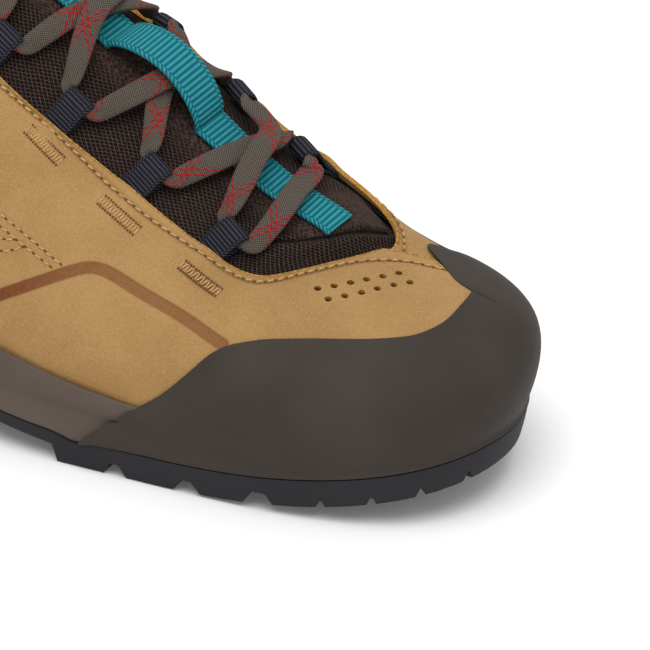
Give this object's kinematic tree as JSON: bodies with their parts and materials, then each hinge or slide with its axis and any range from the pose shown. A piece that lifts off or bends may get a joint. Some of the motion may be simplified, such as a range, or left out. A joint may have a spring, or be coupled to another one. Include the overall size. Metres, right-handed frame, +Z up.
{
  "type": "approach shoe",
  "caption": "Low-cut approach shoe for walking and scrambling: leather upper with a rubber toe rand, foam midsole, lugged rubber outsole, padded mesh tongue and a lace through webbing loops.",
  "frame": {"origin": "on the floor under the middle of the shoe's length and width", "axes": "+X from the heel to the toe, +Y to the inner (medial) side of the foot, +Z up"},
  "size_m": [0.2924, 0.1002, 0.1169],
  "materials": {
    "leather": "tan nubuck, matt",
    "rubber_rand": "matt grey-brown moulded rubber",
    "rubber_sole": "near-black outsole rubber",
    "foam": "grey-brown moulded foam",
    "lining": "dark textile",
    "mesh": "dark brown open mesh",
    "webbing_teal": "ribbed teal webbing",
    "webbing_navy": "ribbed dark navy webbing",
    "lace": "taupe braid with red threads"
  },
  "bodies": {
    "root": {"outsole": "rubber_sole", "midsole": "foam", "insole": "lining", "upper": "leather", "toe_rand": "rubber_rand", "heel_counter": "rubber_rand", "tongue": "mesh", "tongue_webbing": "webbing_teal", "lace": "lace", "lace_loop_lateral_1": "webbing_navy", "lace_loop_lateral_2": "webbing_navy", "lace_loop_lateral_3": "webbing_navy", "lace_loop_lateral_4": "webbing_navy", "lace_loop_lateral_5": "webbing_navy", "lace_loop_medial_1": "webbing_navy", "lace_loop_medial_2": "webbing_navy", "lace_loop_medial_3": "webbing_navy", "lace_loop_medial_4": "webbing_navy", "lace_loop_medial_5": "webbing_navy"}
  },
  "joints": []
}
